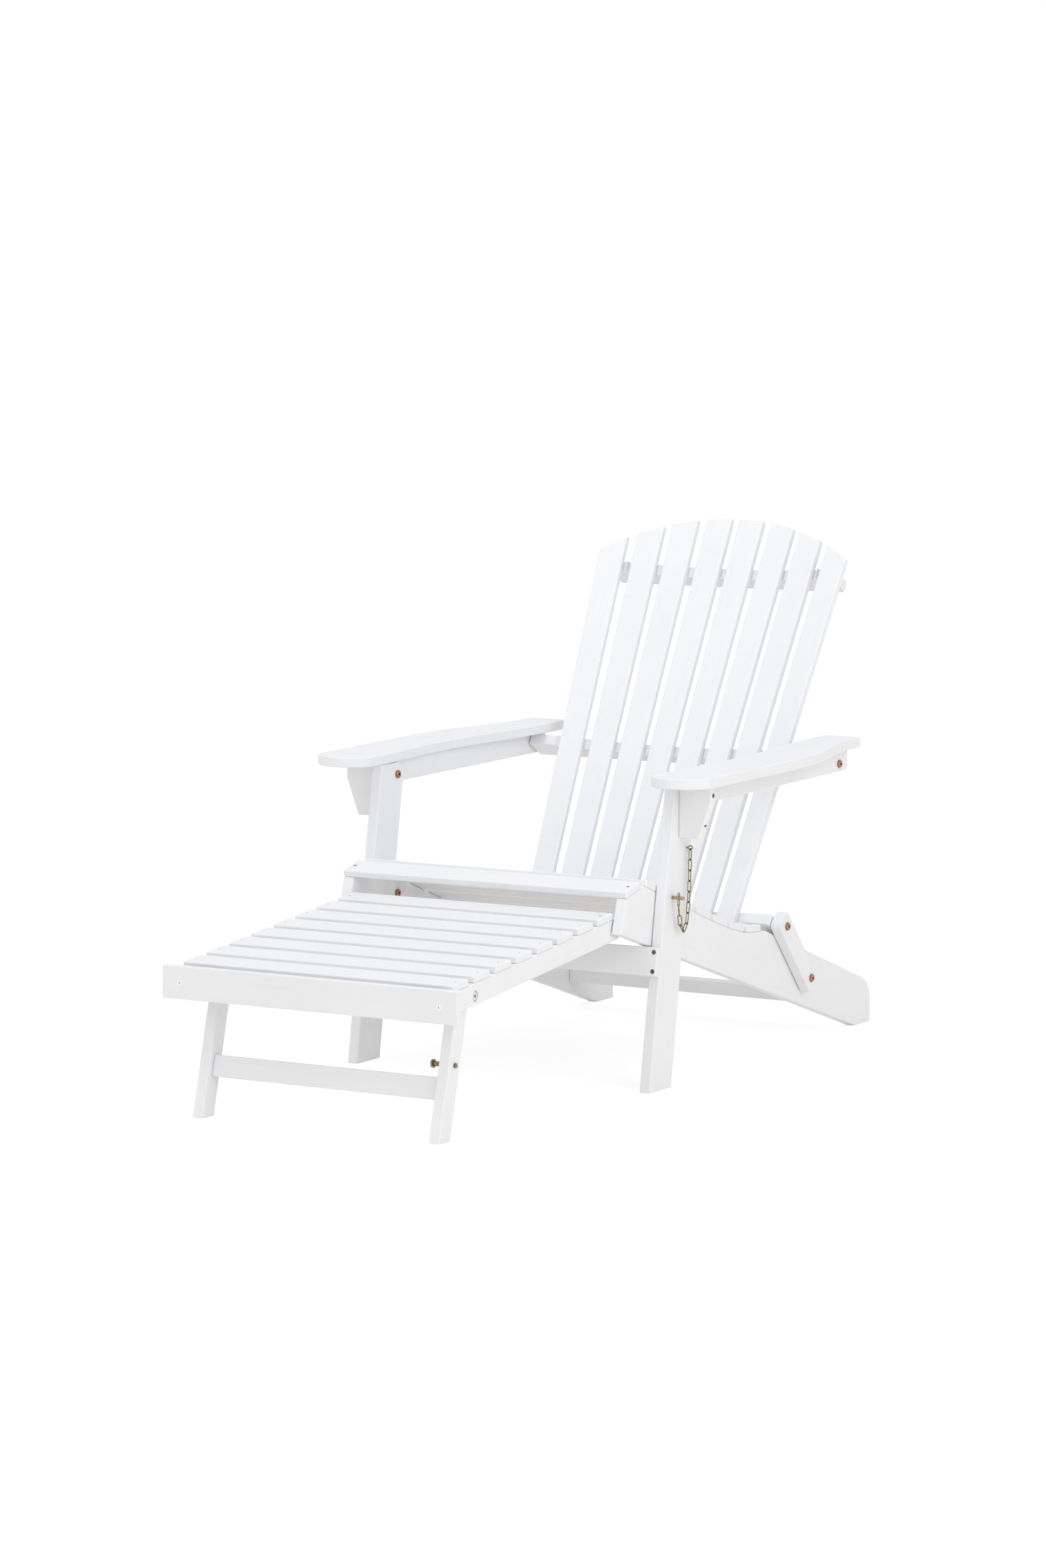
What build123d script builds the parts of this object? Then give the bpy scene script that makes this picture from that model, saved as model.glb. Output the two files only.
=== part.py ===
"""Folding adirondack chair with a pull-out footrest, painted wood with bolted pivots.

Millimetres, +Z up, the chair faces -Y. Y is measured from the middle of the whole length,
with the footrest pulled out; X = 0 is the middle plane and Z = 0 the floor.
"""
from build123d import *
import os
from math import atan2, cos, degrees, hypot, radians, sin, tan

# Stock and clearances
board_t = 20.0
slat_t = 12.0
back_slat_t = 13.0
edge_r = 2.5
play = 1.0
run_fit = 0.10
loose_fit = 0.4
cut_over = 1.0
bolt_end_gap = 0.5
shift_y = 17.0

# Seat frame
rail_inner_x = 258.0
rail_slope = 17.5
rail_front = (-217.0 + shift_y, 274.0)
rail_front_h = 60.0
rail_crest = (-140.0 + shift_y, 347.0)
seat_pitch = 63.7
seat_slopes = (-20.3, -20.3, -20.3, -20.0, -18.5, -14.5, -5.0)
seat_slat_w = 50.0
rail_bump_l = 14.0
rail_rear_slope = -19.2
rail_rear = 706.0
rail_rear_y = rail_rear + shift_y
rail_rear_r = 46.0
rail_foot_l = 60.0
stretcher_y = 540.0 + shift_y
stretcher_z = 52.0
stretcher_size = (34.0, 24.0)

# Front legs, cross board and corbels
leg_w = 74.0
leg_lean = 9.4
leg_foot_y = -157.5 + shift_y
leg_top_gap = 1.0
leg_top_r = 21.0
pivot_a = (-58.0 + shift_y, 288.0)
cross_z = (193.0, 241.0)
cross_t = 13.0
cross_half = 299.0
corbel_y = (-60.0 + shift_y, -42.0 + shift_y)
corbel_drop = 92.0
corbel_top_w = 61.0
corbel_low_w = 38.0
corbel_square = 28.0
corbel_screws_at = (18.0, 68.0)
corbel_screw_in = 14.0
cross_screw_in = 7.0

# Arms
arm_under_z = 513.0
arm_t = 18.0
arm_rise = 0.69
arm_rail_h = 40.0
arm_rail_front_y = -36.5 + shift_y
arm_rail_rear_y = 525.0 + shift_y
arm_rail_round = 10.0
arm_rear = 540.0
arm_front = ((276, -114), (330, -146), (386, -108))
arm_outer = ((388, 0), (390, 120), (389, 220), (382, 300), (363, 380), (347, 450))
arm_inner = ((267, 450), (274, 350), (284, 250), (289, 150), (284, 50), (276, -40))
arm_rear_x = (341.0, 267.0)
arm_rear_r = 8.0
arm_bolt_drop = 19.5
pivot_c = (491.0 + shift_y, arm_under_z - arm_bolt_drop)

# Back: s runs up the slope, d runs rearwards square to it
back_lean = 29.44
back_d = 163.9
back_r = 1543.0
back_reach = 225.0
back_low_s = 345.0
back_low = ((27.3, 41.4), (80.6, 41.4), (135.4, 42.0), (191.5, 40.0))
back_top = (
    (32.75, 50.3, 1132.6, 1130.0),
    (99.9, 49.6, 1127.0, 1116.0),
    (163.9, 49.6, 1109.0, 1092.0),
    (229.3, 48.7, 1081.5, 1053.6),
)
back_rail_t = 20.0
back_rail_bite = 4.0
back_rail_edge = 2.0
back_cut = (25.0, 60.0)
back_rails = (
    ("back_top_rail", 1027.0, 232.0, 215.0, 9.0),
    ("back_mid_rail", 671.0, 299.0, 206.0, 2.5),
    ("back_bottom_rail", 358.0, 278.0, 215.0, 2.5),
)
bolt_d = 184.6

# Links
link_w = 40.0
link_over = 22.0
link_r = 12.0
pivot_e = (429.8 + shift_y, 117.5)

# Footrest
foot_slope = 5.95
foot_rail_inner_x = 236.0
foot_rail_h = 36.0
foot_front = 732.0
foot_rear = 186.0
foot_rail_y = (-foot_front + shift_y, -foot_rear + shift_y)
foot_top_z = 241.0
foot_slat_w = 50.0
foot_slat_pitch = 66.5
foot_slat_first = 14.0
fascia_t = 12.0
fascia_h = 55.0
fascia_low_z = 196.0
fascia_half = 280.0
foot_leg_w = 34.0
foot_leg_lean = 14.5
foot_leg_r = 12.0
foot_pivot_back = 82.0
foot_pivot = (-foot_front + foot_pivot_back + shift_y, 229.0)
foot_stretcher = (64.0, 100.0)
foot_stretcher_t = 14.0
stop_bolt_z = 120.0
stop_bolt_out = 18.0
stop_bolt_tip = 3.0
guide_back = 16.0
guide_depth = 8.5
foot_travel = 115.0

# Fasteners
bolt_r = 4.0
blind_in = 4.0
back_bolt_l = 34.0
head_r = 7.0
head_h = 4.0
socket_w = 5.0
seat_screw_l = 30.0
cross_screw_l = 40.0
foot_screw_l = 26.0
fascia_screw_l = 45.0
screw_r = 2.0
screw_head_r = 4.2
screw_head_h = 3.0
recess_size = (4.8, 1.2, 1.6)
foot_bolt_head_r = 8.5
pin_r = 3.0
pin_out = 22.0
pin_yz = (-81.0 + shift_y, 321.8)
pin_hole_depth = 14.0
pin_tip_gap = 1.6
pin_link = (25.0, 8.5)
pin_link_in = 10.0
pin_link_drop = 2.7
wire_r = 1.2
eye_r = 3.6
eye_neck = 4.0
eye_stem = (14.0, 1.56)
eye_stem_in = 3.0
eye_yz = (-32.0 + shift_y, 401.0)
chain_gap = 0.3
chain_low_z = 261.0
chain_mid = (10.5, 25.0)
chain_loop = ((1.5, 22.0, 1.0), (3.0, 33.0, 3.0))
chain_end = (3.0, 1.3)

rail_outer_x = rail_inner_x + board_t
leg_inner_x = rail_outer_x + play
leg_outer_x = leg_inner_x + board_t
arm_rail_x = leg_outer_x + play
arm_rail_outer_x = arm_rail_x + board_t
foot_rail_outer_x = foot_rail_inner_x + board_t
foot_leg_outer_x = foot_rail_inner_x - play
foot_leg_inner_x = foot_leg_outer_x - board_t
eye_x = leg_outer_x + eye_neck + eye_r
pin_link_x = leg_outer_x + pin_out - pin_link_in

SIDES = (("left", -1), ("right", 1))
parts = {}


def turned(point, length, angle):
    """The point a length away in the side view, at an angle up from +Y."""
    return (point[0] + length * cos(radians(angle)), point[1] + length * sin(radians(angle)))


def soften(solid, axis, r=edge_r):
    """Rounds the edges of the two faces square to an axis."""
    return fillet(solid.faces().filter_by(axis).edges(), r)


def side_board(points, x0, x1, round_at=(), r=0.0):
    """A board from its side outline in Y and Z, between two X values."""
    outline = Polyline(*points, close=True)
    face = make_face(outline)
    corners = [v for v in face.vertices() if any(hypot(v.X - p[0], v.Y - p[1]) < 0.01 for p in round_at)]
    if corners:
        face = fillet(corners, r)
    solid = extrude(Plane.YZ.offset(min(x0, x1)) * face, abs(x1 - x0))
    return soften(solid, Axis.X)


def box_board(size, location):
    """A plain board with all its edges softened."""
    solid = Box(*size)
    return location * fillet(solid.edges(), edge_r)


def bolt(yz, x_head, x_tip, r_head=head_r):
    """A button-head bolt across the chair: head outside x_head, shank to x_tip."""
    way = 1 if x_tip > x_head else -1
    length = abs(x_tip - x_head)
    shank = Pos(0, 0, length / 2) * Cylinder(bolt_r, length)
    head = Pos(0, 0, -head_h / 2) * Cylinder(r_head, head_h)
    head = fillet(head.edges().sort_by(Axis.Z)[0], head_h * 0.45)
    socket = extrude(Pos(0, 0, -head_h) * RegularPolygon(socket_w / 2, 6), head_h * 0.6)
    whole = shank + head - socket
    return Plane(origin=(x_head, yz[0], yz[1]), z_dir=(way, 0, 0)) * whole


def screw(length):
    """A countersunk screw pointing down -Z with its head flush at Z = 0."""
    head = Pos(0, 0, -screw_head_h / 2) * Cone(screw_r, screw_head_r, screw_head_h)
    shank = Pos(0, 0, -length / 2) * Cylinder(screw_r, length)
    return head + shank


def driven(length):
    """The same screw with a cross recess in its head."""
    bar = Box(recess_size[0], recess_size[1], 2 * recess_size[2])
    return screw(length) - bar - Rot(0, 0, 90) * bar


def hole(yz, x0, x1, r):
    """A round hole across the chair between two X values."""
    return Plane(origin=(min(x0, x1), yz[0], yz[1]), z_dir=(1, 0, 0)) * (
        Pos(0, 0, abs(x1 - x0) / 2) * Cylinder(r, abs(x1 - x0)))


def through(yz, way, x0, x1, r):
    """A round hole right through a board on one side of the chair."""
    return hole(yz, way * (x0 - cut_over), way * (x1 + cut_over), r)


def blind(yz, way, bottom, mouth, r):
    """A round hole from a board's outer face in to a bottom."""
    return hole(yz, way * bottom, way * (mouth + cut_over), r)


# Pivots in the side view
leg_grad = tan(radians(leg_lean))
leg_top_z = arm_under_z - leg_top_gap
leg_rear_y = leg_foot_y + leg_w / cos(radians(leg_lean))
pivot_b_z = leg_top_z - leg_top_r
pivot_b = (leg_rear_y + pivot_b_z * leg_grad - leg_top_r / cos(radians(leg_lean)), pivot_b_z)


def back_yz(s, d):
    """Y and Z of a point given up the back's slope and square to it."""
    a = radians(back_lean)
    return (s * sin(a) + d * cos(a) + shift_y, s * cos(a) - d * sin(a))


pivot_d = back_yz(back_rails[2][1], bolt_d)

# Side rails
seat_points = [rail_crest]
for slope in seat_slopes:
    seat_points.append(turned(seat_points[-1], seat_pitch, slope))
bump = turned(seat_points[-1], rail_bump_l, seat_slopes[-1])
rear_top_z = bump[1] + (rail_rear_y - bump[0]) * tan(radians(rail_rear_slope))
foot_y = rail_rear_y - rail_foot_l
rail_front_top = turned(rail_front, rail_front_h, 90 - rail_slope)
rail_heel = (rail_rear_y, rear_top_z)
rail_outline = [rail_front, rail_front_top, *seat_points, bump, rail_heel]
rail_outline += [(rail_rear_y, 0.0), (foot_y, 0.0)]
leg_bolts = []
link_low_bolts = []
for side, way in SIDES:
    rail = side_board(rail_outline, way * rail_inner_x, way * rail_outer_x, [rail_heel], rail_rear_r)
    leg_bolts.append(bolt(pivot_a, way * rail_inner_x, way * (leg_outer_x - blind_in)))
    link_low_bolts.append(bolt(pivot_e, way * leg_outer_x, way * (rail_inner_x + blind_in)))
    rail -= through(pivot_a, way, rail_inner_x, rail_outer_x, bolt_r)
    rail -= blind(pivot_e, way, rail_inner_x + blind_in, rail_outer_x, bolt_r)
    rail -= blind(pin_yz, way, rail_outer_x - pin_hole_depth, rail_outer_x, pin_r + loose_fit)
    parts["side_rail_" + side] = rail
parts["leg_pivot_bolts"] = Compound(children=leg_bolts)
parts["link_rail_bolts"] = Compound(children=link_low_bolts)

# Seat slats on the rails' flats, a screw over each rail
front_slope = degrees(atan2(rail_crest[1] - rail_front_top[1], rail_crest[0] - rail_front_top[0]))
seat_seats = [(rail_front_top, front_slope, 0.0)]
for start, slope in zip(seat_points, seat_slopes):
    seat_seats.append((start, slope, (seat_pitch - seat_slat_w) / 2))
seat_screws = []
screw_x = rail_inner_x + board_t / 2
for number, (start, slope, offset) in enumerate(seat_seats, 1):
    at = turned(start, offset + seat_slat_w / 2, slope)
    normal = (0, -sin(radians(slope)), cos(radians(slope)))
    flat = Plane(origin=(0, at[0], at[1]), x_dir=(1, 0, 0), z_dir=normal)
    slat = flat * box_board((2 * rail_outer_x, seat_slat_w, slat_t), Pos(0, 0, slat_t / 2))
    for side, way in SIDES:
        where = flat * Pos(way * screw_x, 0, slat_t)
        slat -= where * screw(seat_screw_l)
        parts["side_rail_" + side] -= where * screw(seat_screw_l)
        seat_screws.append(where * driven(seat_screw_l))
    parts["seat_slat_%d" % number] = slat
parts["seat_slat_screws"] = Compound(children=seat_screws)
stretcher_at = Pos(0, stretcher_y + stretcher_size[0] / 2, stretcher_z + stretcher_size[1] / 2)
parts["rear_stretcher"] = box_board((2 * rail_inner_x, *stretcher_size), stretcher_at)

# Front legs, with the round behind the arm pivot that lets the arm turn down
leg_bore_end = leg_outer_x - blind_in + bolt_end_gap
arm_bolts = []
eyes = []
pins = {}
for side, way in SIDES:
    front_top = (leg_foot_y + leg_top_z * leg_grad, leg_top_z)
    rear_top = (leg_rear_y + leg_top_z * leg_grad, leg_top_z)
    outline = [(leg_foot_y, 0.0), front_top, rear_top, (leg_rear_y, 0.0)]
    leg = side_board(outline, way * leg_inner_x, way * leg_outer_x, [rear_top], leg_top_r)
    arm_bolts.append(bolt(pivot_b, way * leg_inner_x, way * (leg_outer_x - bolt_end_gap)))
    leg -= through(pivot_b, way, leg_inner_x, leg_outer_x, bolt_r)
    leg -= hole(pivot_a, way * (leg_inner_x - cut_over), way * leg_bore_end, bolt_r + run_fit)
    leg -= through(pin_yz, way, leg_inner_x, leg_outer_x, pin_r + run_fit)
    across = Plane(origin=(way * leg_outer_x, *eye_yz), z_dir=(way, 0, 0))
    stem = across * (Pos(0, 0, -eye_stem_in) * Cylinder(eye_stem[1], eye_stem[0]))
    ring = Plane(origin=(way * eye_x, *eye_yz), z_dir=(0, 1, 0)) * Torus(eye_r, wire_r)
    leg -= stem
    eyes.append(stem + ring)
    parts["front_leg_" + side] = leg
    shaft_x = (rail_outer_x + pin_tip_gap, leg_outer_x + pin_out)
    shaft = hole(pin_yz, way * shaft_x[0], way * shaft_x[1], pin_r)
    middle = (way * pin_link_x, pin_yz[0], pin_yz[1] - pin_link_drop)
    upright = Plane(origin=middle, x_dir=(0, 0, 1), z_dir=(1, 0, 0))
    oval = (upright * SlotOverall(pin_link[0] - 2 * wire_r, pin_link[1] - 2 * wire_r)).wire()
    loop = sweep(Plane(origin=oval @ 0, z_dir=oval % 0) * Circle(wire_r), path=oval)
    parts["lock_pin_" + side] = shaft + loop
parts["arm_pivot_bolts"] = Compound(children=arm_bolts)
parts["chain_eyes"] = Compound(children=eyes)

# Chain from the eye down to a slack loop and up to the pin's ring
for side, way in SIDES:
    pin_link_low = pin_yz[1] - pin_link_drop - pin_link[0] / 2
    hang = Spline(
        (way * eye_x, eye_yz[0], eye_yz[1] - eye_r - wire_r - chain_gap),
        (way * eye_x, eye_yz[0] - chain_mid[0], (eye_yz[1] + chain_low_z) / 2 - chain_mid[1]),
        *[(way * (eye_x + out), eye_yz[0] - ahead, chain_low_z + up) for out, ahead, up in chain_loop],
        (way * pin_link_x, pin_yz[0] + chain_end[0], pin_link_low - wire_r - chain_end[1]),
        tangents=((0, 0, -1), (0, 0, 1)),
    )
    profile = Plane(origin=hang @ 0, z_dir=hang % 0) * Circle(wire_r)
    parts["chain_" + side] = sweep(profile, path=hang)

# Cross board on the legs' front edges, and the corbels on their outer faces
front_n = (cos(radians(leg_lean)), -sin(radians(leg_lean)))
cross_mid_z = sum(cross_z) / 2
cross_plane = Plane(origin=(0, leg_foot_y + cross_mid_z * leg_grad, cross_mid_z), x_dir=(1, 0, 0),
                    z_dir=(0, -front_n[0], -front_n[1]))
cross_h = (cross_z[1] - cross_z[0]) / cos(radians(leg_lean))
cross = cross_plane * box_board((2 * cross_half, cross_h, cross_t), Pos(0, 0, cross_t / 2))
cross_screws = []
for side, way in SIDES:
    for up in (-1, 1):
        where = cross_plane * Pos(way * (cross_half - cross_screw_in), up * cross_h / 3, cross_t)
        cross -= where * screw(cross_screw_l)
        parts["front_leg_" + side] -= where * screw(cross_screw_l)
        cross_screws.append(where * driven(cross_screw_l))
parts["front_cross_board"] = cross
parts["cross_board_screws"] = Compound(children=cross_screws)
corbel_screws = []
for side, way in SIDES:
    top_z = arm_under_z - leg_top_gap
    outline = Polyline(
        (leg_outer_x, top_z),
        (leg_outer_x + corbel_top_w, top_z),
        (leg_outer_x + corbel_top_w, top_z - corbel_square),
        (leg_outer_x + corbel_low_w, top_z - corbel_drop),
        (leg_outer_x, top_z - corbel_drop),
        close=True,
    )
    front = Plane(origin=(0, corbel_y[1], 0), x_dir=(1, 0, 0), z_dir=(0, -1, 0))
    corbel = soften(extrude(front * make_face(outline), corbel_y[1] - corbel_y[0]), Axis.Y)
    if way < 0:
        corbel = mirror(corbel, about=Plane.YZ)
    taper = (corbel_top_w - corbel_low_w) / (corbel_drop - corbel_square)
    for drop in corbel_screws_at:
        out = corbel_top_w - taper * max(drop - corbel_square, 0)
        middle = (way * (leg_outer_x + out), sum(corbel_y) / 2, top_z - drop)
        where = Plane(origin=middle, z_dir=(way, 0, 0))
        corbel -= where * screw(out + corbel_screw_in)
        parts["front_leg_" + side] -= where * screw(out + corbel_screw_in)
        corbel_screws.append(where * driven(out + corbel_screw_in))
    parts["corbel_" + side] = corbel
parts["corbel_screws"] = Compound(children=corbel_screws)

# Arms: a flat board over a rail, both rising a little to the rear
arm_rear_y = arm_rear - (arm_rail_front_y - shift_y)
arm_flat = Plane(
    origin=(0, arm_rail_front_y, arm_under_z),
    x_dir=(1, 0, 0),
    z_dir=(0, -sin(radians(arm_rise)), cos(radians(arm_rise))),
)


def from_rail(point):
    """A point of the arm's outline measured from the front of its rail."""
    return (point[0], point[1] - (arm_rail_front_y - shift_y))


nose = ThreePointArc(*[from_rail(p) for p in arm_front])
rear_outer = (arm_rear_x[0], arm_rear_y)
rear_inner = (arm_rear_x[1], arm_rear_y)
outer = Spline(nose @ 1, *[from_rail(p) for p in arm_outer], rear_outer)
inner = Spline(rear_inner, *[from_rail(p) for p in arm_inner], nose @ 0)
arm_face = make_face([nose, outer, Line(rear_outer, rear_inner), inner])
arm_face = fillet([v for v in arm_face.vertices() if v.Y > arm_rear_y - 1], arm_rear_r)
arm_board = arm_flat * soften(extrude(arm_face, arm_t), Axis.Z)
arm_rail_top = (arm_rail_front_y, arm_under_z)
arm_rail_end = turned(arm_rail_top, arm_rail_rear_y - arm_rail_front_y, arm_rise)
arm_rail_low = [turned(p, arm_rail_h, arm_rise - 90) for p in (arm_rail_end, arm_rail_top)]
back_bolts = []
for side, way in SIDES:
    parts["arm_" + side] = arm_board if way > 0 else mirror(arm_board, about=Plane.YZ)
    outline = [arm_rail_top, arm_rail_end, *arm_rail_low]
    rail = side_board(outline, way * arm_rail_x, way * arm_rail_outer_x, arm_rail_low, arm_rail_round)
    rail -= through(pivot_c, way, arm_rail_x, arm_rail_outer_x, bolt_r)
    back_bolts.append(bolt(pivot_c, way * arm_rail_outer_x, way * (back_rails[1][2] - back_bolt_l)))
    parts["arm_rail_" + side] = rail
parts["arm_back_bolts"] = Compound(children=back_bolts)

# Back: straight tapered slats laid on a hollow curve, rails cut to their backs
lean = radians(back_lean)
up_s = Vector(0, sin(lean), cos(lean))
rear_d = Vector(0, cos(lean), -sin(lean))


def back_point(x, s, d):
    """A point from the middle, up the slope and square to it."""
    return Vector(x, shift_y, 0) + up_s * s + rear_d * d


def back_depth(x):
    """Depth of the slats' front faces at a distance from the middle."""
    return back_d - x * x / (2 * back_r)


slabs = []
for place, (low, top) in enumerate(zip(back_low, back_top)):
    foot = back_point(low[0], back_low_s, back_depth(low[0]))
    crown_s = (top[2] + top[3]) / 2
    crown = back_point(top[0], crown_s, back_depth(top[0]))
    axis = crown - foot
    turn = (low[0] + top[0]) / 2 / back_r
    normal = Vector(-sin(turn), 0, 0) - rear_d * cos(turn)
    across = axis.cross(normal).normalized()
    normal = across.cross(axis).normalized()
    flat = Plane(origin=foot, x_dir=across, z_dir=normal)
    inner_l = axis.length + (top[2] - crown_s)
    outer_l = axis.length + (top[3] - crown_s)
    ends = ((-low[1] / 2, 0), (low[1] / 2, 0), (top[1] / 2, outer_l), (-top[1] / 2, inner_l))
    outline = Polyline(*ends, close=True)
    slat = flat * soften(extrude(make_face(outline), -back_slat_t), Axis.Z)
    slab = Box(low[1] + back_cut[0], axis.length + 2 * back_cut[1], back_cut[1])
    slabs.append(flat * (Pos(0, axis.length / 2, back_cut[1] / 2 - back_slat_t) * slab))
    parts["back_slat_%d" % (5 + place)] = slat
    parts["back_slat_%d" % (4 - place)] = mirror(slat, about=Plane.YZ)
back_bore_l = back_bolt_l + bolt_end_gap
for name, s, half, rear, end_r in back_rails:
    front_d = back_depth(back_reach) + back_slat_t - back_rail_bite
    depth = rear - front_d
    middle = back_point(0, s, front_d + depth / 2)
    frame = Plane(origin=middle, x_dir=(1, 0, 0), z_dir=(up_s.X, up_s.Y, up_s.Z))
    rail = Box(2 * half, depth, back_rail_t)
    rail = frame * soften(fillet(rail.edges().filter_by(Axis.Z), end_r), Axis.Z, back_rail_edge)
    for slab in slabs:
        rail -= slab
        rail -= mirror(slab, about=Plane.YZ)
    for way in (-1, 1):
        if name == "back_mid_rail":
            rail -= blind(pivot_c, way, half - back_bore_l, half, bolt_r + run_fit)
        if name == "back_bottom_rail":
            rail -= blind(pivot_d, way, half - back_bore_l, half, bolt_r + run_fit)
    parts[name] = rail

# Links between the back's bottom rail and the side rails
link_bolts = []
link_angle = degrees(atan2(pivot_d[1] - pivot_e[1], pivot_d[0] - pivot_e[0]))
for side, way in SIDES:
    low = turned(pivot_e, -link_over, link_angle)
    high = turned(pivot_d, link_over, link_angle)
    outline = [turned(low, link_w / 2, link_angle - 90), turned(high, link_w / 2, link_angle - 90),
               turned(high, link_w / 2, link_angle + 90), turned(low, link_w / 2, link_angle + 90)]
    link = side_board(outline, way * leg_inner_x, way * leg_outer_x, outline, link_r)
    link -= through(pivot_e, way, leg_inner_x, leg_outer_x, bolt_r + run_fit)
    one = bolt(pivot_d, way * leg_outer_x, way * (back_rails[2][2] - back_bolt_l))
    link -= through(pivot_d, way, leg_inner_x, leg_outer_x, bolt_r)
    link_bolts.append(one)
    parts["link_" + side] = link
parts["link_back_bolts"] = Compound(children=link_bolts)

# Footrest
foot_tan = tan(radians(foot_slope))
foot_rise = foot_rail_h / cos(radians(foot_slope))
rear_top = foot_top_z + (foot_rail_y[1] - foot_rail_y[0]) * foot_tan
foot_bolts = []
for side, way in SIDES:
    outline = [(foot_rail_y[0], foot_top_z - foot_rise), (foot_rail_y[0], foot_top_z)]
    outline += [(foot_rail_y[1], rear_top), (foot_rail_y[1], rear_top - foot_rise)]
    rail = side_board(outline, way * foot_rail_inner_x, way * foot_rail_outer_x)
    sunk_x = foot_rail_outer_x - head_h - bolt_end_gap
    one = bolt(foot_pivot, way * sunk_x, way * (foot_leg_inner_x + blind_in), foot_bolt_head_r)
    rail -= blind(foot_pivot, way, sunk_x, foot_rail_outer_x, foot_bolt_head_r + loose_fit)
    rail -= through(foot_pivot, way, foot_rail_inner_x, foot_rail_outer_x, bolt_r)
    foot_bolts.append(one)
    parts["footrest_rail_" + side] = rail
parts["footrest_leg_bolts"] = Compound(children=foot_bolts)

# Guide pins at the footrest's rear end, running in grooves in the side rails' inner faces
guide = (foot_rail_y[1] - guide_back, rear_top - guide_back * foot_tan - foot_rise / 2)
guide_x = (foot_rail_inner_x + blind_in, rail_inner_x + guide_depth - bolt_end_gap)
guides = []
for side, way in SIDES:
    one = hole(guide, way * guide_x[0], way * guide_x[1], bolt_r)
    parts["footrest_rail_" + side] -= one
    guides.append(one)
    slot = SlotCenterToCenter(foot_travel + 2 * bolt_end_gap, 2 * (bolt_r + run_fit))
    middle = (way * rail_inner_x, guide[0] + foot_travel / 2, guide[1])
    face = Plane(origin=middle, x_dir=(0, 1, 0), z_dir=(way, 0, 0))
    parts["side_rail_" + side] -= extrude(face * slot, guide_depth)
parts["footrest_guide_pins"] = Compound(children=guides)
foot_slats = []
foot_screws = []
for index in range(8):
    along = foot_slat_first + index * foot_slat_pitch + foot_slat_w / 2
    at = turned((foot_rail_y[0], foot_top_z), along, foot_slope)
    normal = (0, -sin(radians(foot_slope)), cos(radians(foot_slope)))
    flat = Plane(origin=(0, *at), x_dir=(1, 0, 0), z_dir=normal)
    slat = flat * box_board((2 * foot_rail_outer_x, foot_slat_w, slat_t), Pos(0, 0, slat_t / 2))
    for side, way in SIDES:
        where = flat * Pos(way * (foot_rail_inner_x + board_t / 2), 0, slat_t)
        slat -= where * screw(foot_screw_l)
        parts["footrest_rail_" + side] -= where * screw(foot_screw_l)
        foot_screws.append(where * driven(foot_screw_l))
    foot_slats.append(slat)
parts["footrest_slats"] = Compound(children=foot_slats)
parts["footrest_slat_screws"] = Compound(children=foot_screws)
fascia_at = Pos(0, foot_rail_y[0] - fascia_t / 2, fascia_low_z + fascia_h / 2)
fascia = box_board((2 * fascia_half, fascia_t, fascia_h), fascia_at)
fascia_screws = []
for side, way in SIDES:
    middle_x = way * (foot_rail_inner_x + board_t / 2)
    middle = (middle_x, foot_rail_y[0] - fascia_t, foot_top_z - foot_rail_h / 2)
    where = Plane(origin=middle, z_dir=(0, -1, 0))
    fascia -= where * screw(fascia_screw_l)
    parts["footrest_rail_" + side] -= where * screw(fascia_screw_l)
    fascia_screws.append(where * driven(fascia_screw_l))
parts["footrest_fascia"] = fascia
parts["fascia_screws"] = Compound(children=fascia_screws)

# Footrest legs, turned on the bolts in the footrest rails
lean_f = radians(foot_leg_lean)
foot_grad = tan(lean_f)
half_w = foot_leg_w / 2 / cos(lean_f)


def leg_mid(z):
    """Y of the footrest leg's middle line at a height."""
    return foot_pivot[0] - (foot_pivot[1] - z) * foot_grad


stop_yz = (leg_mid(stop_bolt_z), stop_bolt_z)
foot_bore_end = foot_leg_inner_x + blind_in - bolt_end_gap
for side, way in SIDES:
    top_z = foot_pivot[1] + foot_leg_w / 2
    outline = [(leg_mid(0) - half_w, 0.0), (leg_mid(top_z) - half_w, top_z)]
    outline += [(leg_mid(top_z) + half_w, top_z), (leg_mid(0) + half_w, 0.0)]
    leg = side_board(outline, way * foot_leg_inner_x, way * foot_leg_outer_x, outline[1:3], foot_leg_r)
    leg -= blind(foot_pivot, way, foot_bore_end, foot_leg_outer_x, bolt_r + run_fit)
    if way > 0:
        stop_x = (foot_leg_inner_x - stop_bolt_out, foot_leg_outer_x + stop_bolt_tip)
        parts["footrest_stop_bolt"] = bolt(stop_yz, *stop_x)
        leg -= through(stop_yz, way, foot_leg_inner_x, foot_leg_outer_x, bolt_r)
    parts["footrest_leg_" + side] = leg
mid_z = sum(foot_stretcher) / 2
foot_stretcher_size = (2 * foot_leg_inner_x, foot_stretcher_t, foot_stretcher[1] - foot_stretcher[0])
upright = Plane(origin=(0, leg_mid(mid_z), mid_z), x_dir=(1, 0, 0), z_dir=(0, sin(lean_f), cos(lean_f)))
parts["footrest_leg_stretcher"] = box_board(foot_stretcher_size, upright.location)

os.makedirs("parts", exist_ok=True)
for name, shape in parts.items():
    export_step(shape, "parts/%s.step" % name)
box = Compound(children=list(parts.values())).bounding_box()
print("box", box.min, box.max)
pivots = {"a": pivot_a, "b": pivot_b, "c": pivot_c, "d": pivot_d, "e": pivot_e, "foot": foot_pivot}
for name, point in pivots.items():
    print("pivot", name, [round(v / 1000, 5) for v in point])
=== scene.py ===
import math

import bpy
from bpy.props import FloatProperty, FloatVectorProperty, IntProperty, PointerProperty
from mathutils import Matrix, Vector


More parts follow.
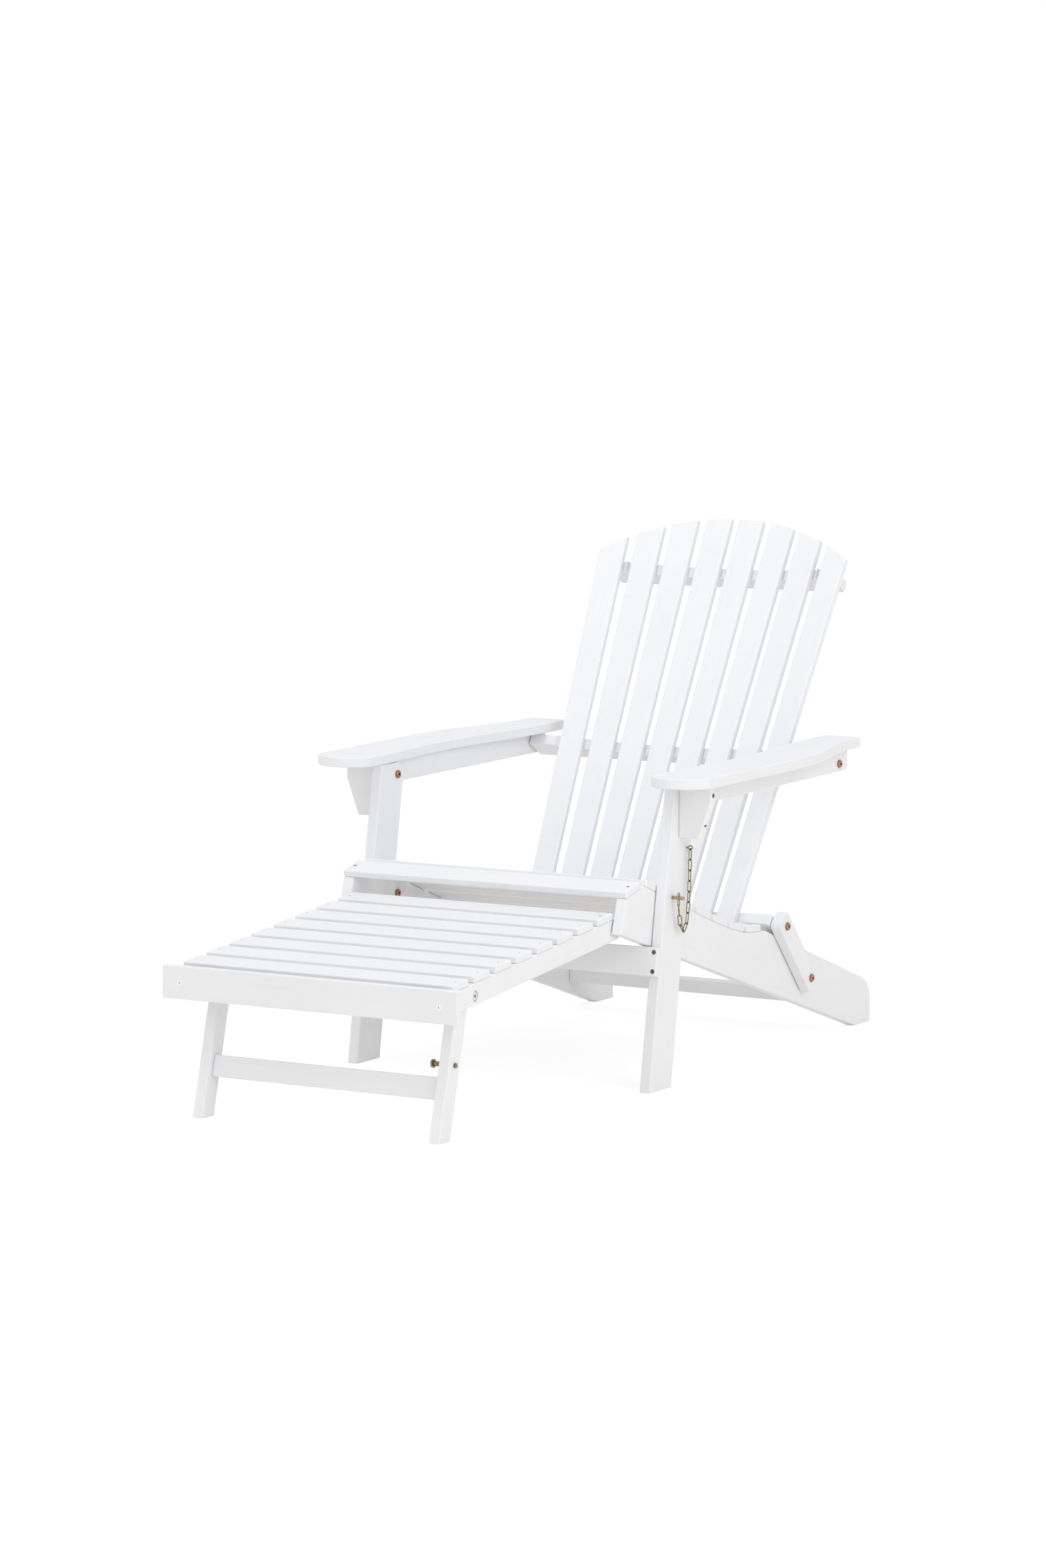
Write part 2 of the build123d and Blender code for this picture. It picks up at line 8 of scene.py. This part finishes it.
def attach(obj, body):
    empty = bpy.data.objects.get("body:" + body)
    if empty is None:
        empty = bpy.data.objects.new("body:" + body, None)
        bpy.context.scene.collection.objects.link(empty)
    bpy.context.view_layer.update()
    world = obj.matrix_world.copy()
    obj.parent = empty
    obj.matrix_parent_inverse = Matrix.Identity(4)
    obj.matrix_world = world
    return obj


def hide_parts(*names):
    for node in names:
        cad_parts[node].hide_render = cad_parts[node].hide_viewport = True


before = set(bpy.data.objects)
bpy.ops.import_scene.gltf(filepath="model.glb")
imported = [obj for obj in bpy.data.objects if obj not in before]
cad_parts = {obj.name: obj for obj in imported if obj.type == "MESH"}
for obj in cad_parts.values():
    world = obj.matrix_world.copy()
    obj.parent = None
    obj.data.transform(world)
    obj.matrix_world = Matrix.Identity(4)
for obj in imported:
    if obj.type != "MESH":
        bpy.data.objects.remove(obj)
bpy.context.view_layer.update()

bl_info = {
    "name": "Folding Adirondack Chair",
    "version": (1, 0, 0),
    "blender": (4, 5, 0),
    "location": "View3D > Sidebar > Chair",
    "description": "Paints and details a folding adirondack chair with a pull-out footrest",
    "category": "Object",
}

SIDES = (("left", -1), ("right", 1))
SLATS = 8

# Slopes of the boards in the side view, in degrees.
RAIL_FALL = 19
ARM_RISE = 0.7
LINK_FALL = 48
FOOTREST_RISE = 6
LEG_LEAN = 9.4
BACK_LEAN = 29.4
FOOTREST_LEG_LEAN = 14.5

# Where each paint takes its grain from, in metres, so that the boards don't look alike.
GRAIN_AT = {
    "side_rails": (0.3, 0.1, 0.0),
    "stretcher": (1.7, 0.0, 0.0),
    "legs": (0.2, 0.4, 0.0),
    "cross": (2.3, 0.1, 0.0),
    "arms": (0.9, 0.3, 0.0),
    "arm_rails": (0.1, 0.7, 0.0),
    "back_rails": (3.1, 0.0, 0.0),
    "links": (0.5, 0.2, 0.0),
    "foot_rails": (0.4, 0.9, 0.0),
    "foot_slats": (4.2, 0.0, 0.0),
    "foot_legs": (0.8, 0.1, 0.0),
}
SEAT_GRAIN_STEP = 0.37
BACK_GRAIN_STEP = 0.29

# Paint and metal: how far roughness varies, strength of the relief, the paint's gloss, and how far the
# painted shade in metal recesses reaches.
PAINT_GLOSS = 0.2
PAINT_VARIES = 0.16
PAINT_BUMP = 0.35
PAINT_CLOUD = 0.965
METAL_VARIES = 0.22
METAL_BUMP = 0.12
METAL_RELIEF = 0.0001
# How far the painted shade in metal recesses reaches, in metres.
PAINTED_SHADE_REACH = 0.005

# Chain links: points around a link, first roll in degrees, and the search for the sag.
LINK_POINTS = 24
LINK_ROLL = 15
QUARTER_TURN = 90
SAG_RANGE = (0.01, 20.0)
SAG_HALVINGS = 60

# Stage: lamps, floor, sky and lens. The floor's white is its own light and a part that takes shadow.
KEY_AT = (-0.4, -1.6, 5.2)
KEY_SIZE = 2.4
FILL_AT = (4.2, -1.6, 2.4)
FILL_SIZE = 3.0
LAMP_AIM = (0.0, 0.0, 0.35)
FLOOR_REACH = 400.0
FLOOR_ROUGHNESS = 0.9
FLOOR_WHITE = 0.65
FLOOR_TAKES_SHADOW = (0.5, 0.5, 0.5)
SKY_WHITE = 1.02
SKY_LIGHT = (0.965, 0.984, 1.0)
SKY_BLEND = 0.6
SENSOR_WIDTH = 36.0
VIEW_LIMIT = 1000


class ChairPaint(bpy.types.PropertyGroup):
    """White paint over wood."""

    colour: FloatVectorProperty(
        name="Paint", description="Colour of the white paint",
        subtype="COLOR", size=3, min=0, max=1, default=(0.848, 0.851, 0.868))
    shade: FloatVectorProperty(
        name="Grain shade", description="Colour of the paint along the grain lines",
        subtype="COLOR", size=3, min=0, max=1, default=(0.795, 0.80, 0.816))
    wear: FloatVectorProperty(
        name="Thin paint", description="Colour where the wood shows faintly through",
        subtype="COLOR", size=3, min=0, max=1, default=(0.815, 0.785, 0.765))
    roughness: FloatProperty(
        name="Roughness", description="Roughness of the paint", subtype="FACTOR", min=0, max=1, default=0.55)
    grain_across: FloatProperty(
        name="Grain across", description="Grain lines per metre across a board", min=1, default=170.0)
    grain_along: FloatProperty(
        name="Grain along", description="Grain changes per metre along a board", min=0.1, default=7.0)
    relief: FloatProperty(
        name="Grain relief", description="Depth of the grain under the paint",
        unit="LENGTH", min=0, default=0.0005)


class ChairMetal(bpy.types.PropertyGroup):
    """Bolts, screws, pins and chains."""

    copper: FloatVectorProperty(
        name="Copper", description="Colour of the pivot bolts",
        subtype="COLOR", size=3, min=0, max=1, default=(0.46, 0.24, 0.13))
    # Yellow zinc: the plating's own yellow, darkened to a painted dark reflection, as if the chains and stop
    # bolt mirrored dark surroundings.
    zinc: FloatVectorProperty(
        name="Yellow zinc", description="Colour of the chains and the stop bolt",
        subtype="COLOR", size=3, min=0, max=1, default=(0.12, 0.11, 0.075))
    zinc_tint: FloatVectorProperty(
        name="Zinc tint", description="Second colour in the zinc and bronze plating",
        subtype="COLOR", size=3, min=0, max=1, default=(0.37, 0.31, 0.15))
    bronze: FloatVectorProperty(
        name="Bronze", description="Colour of the lock pins and chain eyes",
        subtype="COLOR", size=3, min=0, max=1, default=(0.52, 0.37, 0.30))
    painted: FloatVectorProperty(
        name="Painted screws", description="Colour of the screws that were painted over",
        subtype="COLOR", size=3, min=0, max=1, default=(0.92, 0.92, 0.94))
    black: FloatVectorProperty(
        name="Black screws", description="Colour of the blackened screws",
        subtype="COLOR", size=3, min=0, max=1, default=(0.14, 0.14, 0.145))
    steel: FloatVectorProperty(
        name="Steel", description="Colour of the seat screws and the footrest's leg bolts",
        subtype="COLOR", size=3, min=0, max=1, default=(0.74, 0.74, 0.75))


class ChairChain(bpy.types.PropertyGroup):
    """The chain of each lock pin."""

    link_length: FloatProperty(
        name="Link length", description="Outside length of a link", unit="LENGTH", min=0.004, default=0.0217)
    link_width: FloatProperty(
        name="Link width", description="Outside width of a link", unit="LENGTH", min=0.002, default=0.0076)
    wire: FloatProperty(
        name="Wire", description="Wire radius of a link", unit="LENGTH", min=0.0003, default=0.00095)
    sides: IntProperty(
        name="Wire sides", description="Sides of the wire's section", min=4, max=32, default=10)
    count: IntProperty(name="Links", description="Links in a chain", min=8, max=60, default=11)
    eye: FloatVectorProperty(
        name="Eye", description="Where the first link hangs in the eye, right side",
        subtype="TRANSLATION", unit="LENGTH", size=3, default=(0.3066, -0.015, 0.3986))
    ring: FloatVectorProperty(
        name="Ring", description="Where the last link hangs in the pin's ring, right side",
        subtype="TRANSLATION", unit="LENGTH", size=3, default=(0.311, -0.064, 0.309))


class ChairStage(bpy.types.PropertyGroup):
    """Floor, light and camera."""

    floor: FloatVectorProperty(
        name="Floor", description="Colour of the light that the floor throws back",
        subtype="COLOR", size=3, min=0, max=1, default=(0.92, 0.885, 0.84))
    glow: FloatProperty(name="Floor glow", description="Light of the floor itself", min=0, default=0.1)
    near: FloatProperty(
        name="Front light", description="Strength of the even light from the viewer's side",
        min=0, default=0.84)
    far: FloatProperty(
        name="Back light", description="Strength of the even light from behind the chair",
        min=0, default=0.70)
    key: FloatProperty(
        name="Key light", description="Power of the key light", unit="POWER", min=0, default=59.0)
    fill: FloatProperty(
        name="Fill light", description="Power of the fill light", unit="POWER", min=0, default=44.0)
    camera: FloatVectorProperty(
        name="Camera", description="Place of the camera",
        subtype="TRANSLATION", unit="LENGTH", size=3, default=(4.2716, -7.3037, 1.4639))
    camera_turn: FloatVectorProperty(
        name="Camera turn", description="Rotation of the camera",
        subtype="EULER", size=3, default=(math.radians(83.43), 0.0, math.radians(30.49)))
    lens: FloatProperty(name="Lens", description="Focal length in millimetres", min=1, default=171.2)


def nodes_of(material):
    """A fresh node tree with a surface shader joined to its output."""
    material.use_nodes = True
    tree = material.node_tree
    tree.nodes.clear()
    out = tree.nodes.new("ShaderNodeOutputMaterial")
    shader = tree.nodes.new("ShaderNodeBsdfPrincipled")
    tree.links.new(shader.outputs["BSDF"], out.inputs["Surface"])
    return tree, shader


def add(tree, kind, **settings):
    """Adds a node and sets its own fields."""
    node = tree.nodes.new(kind)
    for key, value in settings.items():
        setattr(node, key, value)
    return node


def set_inputs(node, values):
    """Sets the values of a node's inputs by their names."""
    for key, value in values.items():
        node.inputs[key].default_value = value


def scaled(colour, by):
    """A colour made darker or lighter."""
    return tuple(by * part for part in colour)


def mixed(tree, factor, first, second):
    """A colour mix of two colours by a factor socket."""
    node = add(tree, "ShaderNodeMix", data_type="RGBA")
    tree.links.new(factor, node.inputs["Factor"])
    for name, value in (("A", first), ("B", second)):
        socket = [s for s in node.inputs if s.name == name and s.type == "RGBA"][0]
        if isinstance(value, bpy.types.NodeSocket):
            tree.links.new(value, socket)
        else:
            socket.default_value = (*value, 1.0)
    return [s for s in node.outputs if s.type == "RGBA"][0]


def ramp(tree, factor, low, high):
    """A factor stretched so that low gives 0 and high gives 1."""
    node = add(tree, "ShaderNodeMapRange")
    set_inputs(node, {"From Min": low, "From Max": high})
    tree.links.new(factor, node.inputs["Value"])
    return node.outputs["Result"]


def noise(tree, vector, **values):
    """A noise texture on a vector socket, with values for its inputs of the same names."""
    node = add(tree, "ShaderNodeTexNoise")
    set_inputs(node, {key.capitalize(): value for key, value in values.items()})
    tree.links.new(vector, node.inputs["Vector"])
    return node.outputs["Fac"]


def roughen(tree, shader, pattern, middle, varies):
    """Roughness that follows a pattern on both sides of a middle value."""
    rough = add(tree, "ShaderNodeMath", operation="MULTIPLY_ADD")
    tree.links.new(pattern, rough.inputs[0])
    rough.inputs[1].default_value = varies
    rough.inputs[2].default_value = middle - varies / 2
    tree.links.new(rough.outputs["Value"], shader.inputs["Roughness"])


def raise_pattern(tree, shader, pattern, strength, depth):
    """Fine relief that follows a pattern."""
    bump = add(tree, "ShaderNodeBump")
    set_inputs(bump, {"Strength": strength, "Distance": depth})
    tree.links.new(pattern, bump.inputs["Height"])
    tree.links.new(bump.outputs["Normal"], shader.inputs["Normal"])


def paint_material(name, turn, shift):
    """White paint with a faint grain that runs along the board's own length.

    turn brings the row frame to a frame whose X runs along the grain."""
    paint = bpy.context.scene.chair_paint
    material = bpy.data.materials.new(name)
    tree, shader = nodes_of(material)
    place = add(tree, "ShaderNodeTexCoord")
    move = add(tree, "ShaderNodeMapping", vector_type="POINT")
    set_inputs(move, {"Rotation": turn, "Location": shift})
    tree.links.new(place.outputs["Object"], move.inputs["Vector"])
    board = move.outputs["Vector"]
    stretch = add(tree, "ShaderNodeMapping", vector_type="POINT")
    set_inputs(stretch, {"Scale": (paint.grain_along, paint.grain_across, paint.grain_across)})
    tree.links.new(board, stretch.inputs["Vector"])
    grain = noise(tree, stretch.outputs["Vector"], scale=1.0, detail=5.0, roughness=0.62, distortion=0.35)
    cloud = noise(tree, board, scale=9.0, detail=3.0)
    stain = noise(tree, board, scale=17.0, detail=6.0, roughness=0.7)
    base = mixed(tree, ramp(tree, grain, low=0.58, high=0.78), paint.colour, paint.shade)
    faint = ramp(tree, cloud, low=0.45, high=0.95)
    tone = mixed(tree, faint, base, scaled(paint.colour, PAINT_CLOUD))
    worn = mixed(tree, ramp(tree, stain, low=0.58, high=0.95), tone, paint.wear)
    tree.links.new(worn, shader.inputs["Base Color"])
    roughen(tree, shader, grain, paint.roughness, PAINT_VARIES)
    raise_pattern(tree, shader, grain, PAINT_BUMP, paint.relief)
    shader.inputs["Specular IOR Level"].default_value = PAINT_GLOSS
    return material


def metal_material(name, colour, tint, roughness, dark):
    """Plated metal with fine wear, a second tint in patches, and painted shade that darkens its recesses."""
    material = bpy.data.materials.new(name)
    tree, shader = nodes_of(material)
    place = add(tree, "ShaderNodeTexCoord").outputs["Object"]
    patch = noise(tree, place, scale=260.0, detail=4.0)
    fine = noise(tree, place, scale=1900.0, detail=2.0)
    tone = mixed(tree, ramp(tree, patch, low=0.35, high=0.65), colour, tint)
    # Painted shade: where ambient occlusion finds recesses and hollows, the colour darkens towards dark times
    # the colour.
    hollow = add(tree, "ShaderNodeAmbientOcclusion", samples=8, only_local=False)
    hollow.inputs["Distance"].default_value = PAINTED_SHADE_REACH
    unshaded = ramp(tree, hollow.outputs["AO"], low=0.12, high=0.8)
    tree.links.new(mixed(tree, unshaded, scaled(colour, dark), tone), shader.inputs["Base Color"])
    roughen(tree, shader, fine, roughness, METAL_VARIES)
    raise_pattern(tree, shader, fine, METAL_BUMP, METAL_RELIEF)
    shader.inputs["Metallic"].default_value = 1.0
    return material


def dress(names, material):
    """Gives CAD nodes one material."""
    for name in names:
        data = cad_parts[name].data
        data.materials.clear()
        data.materials.append(material)


def paint_boards(names, paint, turn):
    """Paints boards that share one grain."""
    dress(names, paint_material("paint_" + paint, turn, GRAIN_AT[paint]))


def paint_slats(group, turn, step):
    """Paints the slats of the seat or the back, each with a grain of its own."""
    for number in range(1, SLATS + 1):
        material = paint_material("paint_%s_%d" % (group, number), turn, (step * number, 0, 0))
        dress(["%s_slat_%d" % (group, number)], material)


ACROSS = (0.0, 0.0, 0.0)


def rearward(fall):
    """Grain turn for boards that run to the rear and fall by an angle in degrees."""
    return (math.radians(fall), 0.0, math.radians(-90))


def upward(lean):
    """Grain turn for boards that run up and lean to the rear by an angle in degrees."""
    return (math.radians(lean), math.radians(90), 0.0)


def both(name):
    """A name for each side of the chair."""
    return [name + "_" + side for side, _ in SIDES]


class CHAIR_OT_seat(bpy.types.Operator):
    """Paints the side rails, the seat slats and the rear stretcher"""

    bl_idname = "chair.seat"
    bl_label = "Seat frame"

    def execute(self, context):
        paint_boards(both("side_rail"), "side_rails", rearward(RAIL_FALL))
        paint_slats("seat", ACROSS, SEAT_GRAIN_STEP)
        paint_boards(["rear_stretcher"], "stretcher", ACROSS)
        return {"FINISHED"}


class CHAIR_OT_legs(bpy.types.Operator):
    """Paints the front legs, their cross board and the corbels"""

    bl_idname = "chair.legs"
    bl_label = "Front legs"

    def execute(self, context):
        paint_boards(both("front_leg") + both("corbel"), "legs", upward(LEG_LEAN))
        paint_boards(["front_cross_board"], "cross", ACROSS)
        return {"FINISHED"}


class CHAIR_OT_arms(bpy.types.Operator):
    """Paints the arm boards and the rails under them"""

    bl_idname = "chair.arms"
    bl_label = "Arms"

    def execute(self, context):
        paint_boards(both("arm"), "arms", rearward(-ARM_RISE))
        paint_boards(both("arm_rail"), "arm_rails", rearward(-ARM_RISE))
        return {"FINISHED"}


class CHAIR_OT_back(bpy.types.Operator):
    """Paints the back slats, the back rails and the links"""

    bl_idname = "chair.back"
    bl_label = "Back"

    def execute(self, context):
        paint_slats("back", upward(BACK_LEAN), BACK_GRAIN_STEP)
        paint_boards(["back_top_rail", "back_mid_rail", "back_bottom_rail"], "back_rails", ACROSS)
        paint_boards(both("link"), "links", rearward(LINK_FALL))
        return {"FINISHED"}


class CHAIR_OT_footrest(bpy.types.Operator):
    """Paints the footrest and its legs"""

    bl_idname = "chair.footrest"
    bl_label = "Footrest"

    def execute(self, context):
        paint_boards(both("footrest_rail"), "foot_rails", rearward(-FOOTREST_RISE))
        paint_boards(["footrest_slats", "footrest_fascia", "footrest_leg_stretcher"], "foot_slats", ACROSS)
        paint_boards(both("footrest_leg"), "foot_legs", upward(FOOTREST_LEG_LEAN))
        return {"FINISHED"}


class CHAIR_OT_fasteners(bpy.types.Operator):
    """Plates the bolts, screws, eyes and lock pins"""

    bl_idname = "chair.fasteners"
    bl_label = "Fasteners"

    def execute(self, context):
        metal = context.scene.chair_metal
        # dark is how dark each metal's painted shade in its recesses gets, as a share of its colour.
        copper = metal_material(
            "copper_bolts", metal.copper, scaled(metal.copper, 0.8), roughness=0.34, dark=0.05)
        zinc = metal_material("zinc_plate", metal.zinc, metal.zinc_tint, roughness=0.3, dark=0.05)
        bronze = metal_material("bronze_pins", metal.bronze, metal.zinc_tint, roughness=0.34, dark=0.12)
        steel = metal_material(
            "steel_screws", metal.steel, scaled(metal.steel, 0.85), roughness=0.45, dark=0.5)
        painted = metal_material(
            "painted_screws", metal.painted, scaled(metal.painted, 0.95), roughness=0.5, dark=0.8)
        black = metal_material(
            "black_screws", metal.black, scaled(metal.black, 2.0), roughness=0.4, dark=0.3)
        dress(["leg_pivot_bolts", "link_rail_bolts", "link_back_bolts"], copper)
        dress(["arm_pivot_bolts", "arm_back_bolts", "footrest_guide_pins"], copper)
        dress(["footrest_stop_bolt"] + both("chain"), zinc)
        dress(["chain_eyes"] + both("lock_pin"), bronze)
        dress(["seat_slat_screws", "footrest_leg_bolts"], steel)
        dress(["footrest_slat_screws", "fascia_screws"], painted)
        dress(["corbel_screws", "cross_board_screws"], black)
        return {"FINISHED"}


def hanging(start, end, length, count):
    """Points at even steps along a slack chain of a length between two points."""
    span = Vector((end.x - start.x, end.y - start.y, 0.0))
    across = span.length
    rise = end.z - start.z
    want = math.sqrt(length * length - rise * rise) / across
    low, high = SAG_RANGE
    for _ in range(SAG_HALVINGS):
        half = (low + high) / 2
        if math.sinh(half) / half < want:
            low = half
        else:
            high = half
    size = across / (2 * half)
    lowest = across / 2 - size * math.atanh(rise / length)
    begin = math.sinh(-lowest / size)
    points = []
    for step in range(count + 1):
        where = lowest + size * math.asinh(begin + length * step / count / size)
        height = size * (math.cosh((where - lowest) / size) - math.cosh(lowest / size))
        points.append(start + span * (where / across) + Vector((0, 0, height)))
    return points


def link_mesh(name, chain):
    """One oval link of round wire, long along Z and flat in the XZ plane."""
    wire = chain.wire
    bend = chain.link_width / 2 - wire
    straight = chain.link_length / 2 - wire - bend
    ring = []
    for step in range(LINK_POINTS):
        angle = 2 * math.pi * step / LINK_POINTS
        lift = straight if math.sin(angle) >= 0 else -straight
        ring.append((bend * math.cos(angle), lift + bend * math.sin(angle), math.cos(angle), math.sin(angle)))
    ring.insert(LINK_POINTS // 2 + 1, (-bend, -straight, -1.0, 0.0))
    ring.append((bend, -straight, 1.0, 0.0))
    points, faces = [], []
    for x, z, out_x, out_z in ring:
        for side in range(chain.sides):
            angle = 2 * math.pi * side / chain.sides
            out = wire * math.cos(angle)
            points.append((x + out * out_x, wire * math.sin(angle), z + out * out_z))
    for step in range(len(ring)):
        here = step * chain.sides
        after = (step + 1) % len(ring) * chain.sides
        for side in range(chain.sides):
            turn = (side + 1) % chain.sides
            faces.append((here + side, here + turn, after + turn, after + side))
    mesh = bpy.data.meshes.new(name)
    mesh.from_pydata(points, [], faces)
    mesh.polygons.foreach_set("use_smooth", [True] * len(faces))
    return mesh


class CHAIR_OT_chains(bpy.types.Operator):
    """Hangs a chain of oval links between each eye and lock pin"""

    bl_idname = "chair.chains"
    bl_label = "Chains"

    def execute(self, context):
        chain = context.scene.chair_chain
        pitch = chain.link_length - 4 * chain.wire
        zinc = bpy.data.materials["zinc_plate"]
        for side, way in SIDES:
            start = Vector((way * chain.eye[0], chain.eye[1], chain.eye[2]))
            end = Vector((way * chain.ring[0], chain.ring[1], chain.ring[2]))
            points = hanging(start, end, pitch * chain.count, chain.count)
            for number in range(chain.count):
                mesh = link_mesh("chain_link", chain)
                mesh.materials.append(zinc)
                link = bpy.data.objects.new("chain_%s_link_%02d" % (side, number + 1), mesh)
                middle = (points[number] + points[number + 1]) / 2
                run = (points[number + 1] - points[number]).to_track_quat("Z", "X").to_matrix().to_4x4()
                angle = LINK_ROLL + QUARTER_TURN * (number % 2)
                roll = Matrix.Rotation(math.radians(angle), 4, "Z")
                link.matrix_world = Matrix.Translation(middle) @ run @ roll
                context.scene.collection.objects.link(link)
                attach(link, "front_legs")
                if number == 0:
                    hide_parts("chain_" + side)
        return {"FINISHED"}


def seen_ray(tree):
    """1 where the camera looks straight, in a reflection or through glass, and 0 for other light."""
    path = add(tree, "ShaderNodeLightPath")
    seen = path.outputs["Is Camera Ray"]
    for kind in ("Is Glossy Ray", "Is Transmission Ray"):
        either = add(tree, "ShaderNodeMath", operation="MAXIMUM")
        tree.links.new(seen, either.inputs[0])
        tree.links.new(path.outputs[kind], either.inputs[1])
        seen = either.outputs["Value"]
    return seen


def floor_material(colour, glow):
    """A floor that looks white with a faint shadow and throws a duller light back."""
    material = bpy.data.materials.new("floor")
    tree, shader = nodes_of(material)
    set_inputs(shader, {"Base Color": (*colour, 1), "Roughness": FLOOR_ROUGHNESS, "Specular IOR Level": 0.0})
    set_inputs(shader, {"Emission Color": (*colour, 1), "Emission Strength": glow})
    white = add(tree, "ShaderNodeEmission")
    white.inputs["Strength"].default_value = FLOOR_WHITE
    lit = add(tree, "ShaderNodeBsdfDiffuse")
    lit.inputs["Color"].default_value = (*FLOOR_TAKES_SHADOW, 1)
    look = add(tree, "ShaderNodeAddShader")
    tree.links.new(white.outputs["Emission"], look.inputs[0])
    tree.links.new(lit.outputs["BSDF"], look.inputs[1])
    choice = add(tree, "ShaderNodeMixShader")
    tree.links.new(seen_ray(tree), choice.inputs["Fac"])
    tree.links.new(shader.outputs["BSDF"], choice.inputs[1])
    tree.links.new(look.outputs["Shader"], choice.inputs[2])
    tree.links.new(choice.outputs["Shader"], tree.nodes["Material Output"].inputs["Surface"])
    return material


def studio_world(near, far):
    """White to look at; as light, near from the viewer's side and far from behind the chair."""
    world = bpy.data.worlds.new("studio")
    world.use_nodes = True
    tree = world.node_tree
    sky = tree.nodes["Background"]
    place = add(tree, "ShaderNodeTexCoord")
    split = add(tree, "ShaderNodeSeparateXYZ")
    tree.links.new(place.outputs["Generated"], split.inputs["Vector"])
    light = add(tree, "ShaderNodeMapRange", interpolation_type="SMOOTHSTEP")
    set_inputs(light, {"From Min": -SKY_BLEND, "From Max": SKY_BLEND, "To Min": near, "To Max": far})
    tree.links.new(split.outputs["Y"], light.inputs["Value"])
    seen = seen_ray(tree)
    # Inputs 0, 2 and 3 of a mix of numbers are its factor and the two numbers.
    strength = add(tree, "ShaderNodeMix", data_type="FLOAT")
    tree.links.new(seen, strength.inputs[0])
    tree.links.new(light.outputs["Result"], strength.inputs[2])
    strength.inputs[3].default_value = SKY_WHITE
    tree.links.new(strength.outputs[0], sky.inputs["Strength"])
    tree.links.new(mixed(tree, seen, SKY_LIGHT, (1, 1, 1)), sky.inputs["Color"])
    return world


class CHAIR_OT_stage(bpy.types.Operator):
    """Adds the floor, the lights and the camera"""

    bl_idname = "chair.stage"
    bl_label = "Stage"

    def execute(self, context):
        scene = context.scene
        stage = scene.chair_stage
        mesh = bpy.data.meshes.new("floor")
        square = ((-1, -1), (1, -1), (1, 1), (-1, 1))
        mesh.from_pydata([(FLOOR_REACH * x, FLOOR_REACH * y, 0) for x, y in square], [], [(0, 1, 2, 3)])
        floor = bpy.data.objects.new("floor", mesh)
        scene.collection.objects.link(floor)
        mesh.materials.append(floor_material(stage.floor, stage.glow))
        scene.world = studio_world(stage.near, stage.far)
        for name, place, size, power in (
            ("key", KEY_AT, KEY_SIZE, stage.key),
            ("fill", FILL_AT, FILL_SIZE, stage.fill),
        ):
            light = bpy.data.lights.new(name, "AREA")
            light.size = size
            light.energy = power
            lamp = bpy.data.objects.new(name, light)
            lamp.location = place
            aim = Vector(LAMP_AIM) - Vector(place)
            lamp.rotation_euler = aim.to_track_quat("-Z", "Y").to_euler()
            scene.collection.objects.link(lamp)
        lens = bpy.data.cameras.new("camera")
        lens.sensor_fit = "HORIZONTAL"
        lens.sensor_width = SENSOR_WIDTH
        lens.lens = stage.lens
        lens.clip_end = VIEW_LIMIT
        camera = bpy.data.objects.new("camera", lens)
        camera.location = stage.camera
        camera.rotation_euler = stage.camera_turn
        scene.collection.objects.link(camera)
        scene.camera = camera
        scene.view_settings.view_transform = "Standard"
        return {"FINISHED"}


class CHAIR_PT_panel(bpy.types.Panel):
    """Sizes, colours and steps of the chair"""

    bl_idname = "CHAIR_PT_panel"
    bl_label = "Adirondack Chair"
    bl_space_type = "VIEW_3D"
    bl_region_type = "UI"
    bl_category = "Chair"

    def draw(self, context):
        for name, group in GROUPS:
            box = self.layout.box()
            for key in group.__annotations__:
                box.prop(getattr(context.scene, name), key)
        for step in STEPS:
            self.layout.operator(step.bl_idname)


GROUPS = (
    ("chair_paint", ChairPaint),
    ("chair_metal", ChairMetal),
    ("chair_chain", ChairChain),
    ("chair_stage", ChairStage),
)
STEPS = (
    CHAIR_OT_seat,
    CHAIR_OT_legs,
    CHAIR_OT_arms,
    CHAIR_OT_back,
    CHAIR_OT_footrest,
    CHAIR_OT_fasteners,
    CHAIR_OT_chains,
    CHAIR_OT_stage,
)


def register():
    """Registers the settings, steps and panel."""
    for name, group in GROUPS:
        bpy.utils.register_class(group)
        setattr(bpy.types.Scene, name, PointerProperty(type=group))
    for step in STEPS:
        bpy.utils.register_class(step)
    bpy.utils.register_class(CHAIR_PT_panel)


def unregister():
    """Takes the settings, steps and panel away again."""
    bpy.utils.unregister_class(CHAIR_PT_panel)
    for step in reversed(STEPS):
        bpy.utils.unregister_class(step)
    for name, group in reversed(GROUPS):
        delattr(bpy.types.Scene, name)
        bpy.utils.unregister_class(group)


def main():
    """Builds the whole picture in order."""
    register()
    bpy.ops.chair.seat()
    bpy.ops.chair.legs()
    bpy.ops.chair.arms()
    bpy.ops.chair.back()
    bpy.ops.chair.footrest()
    bpy.ops.chair.fasteners()
    bpy.ops.chair.chains()
    bpy.ops.chair.stage()


if __name__ == "__main__":
    main()
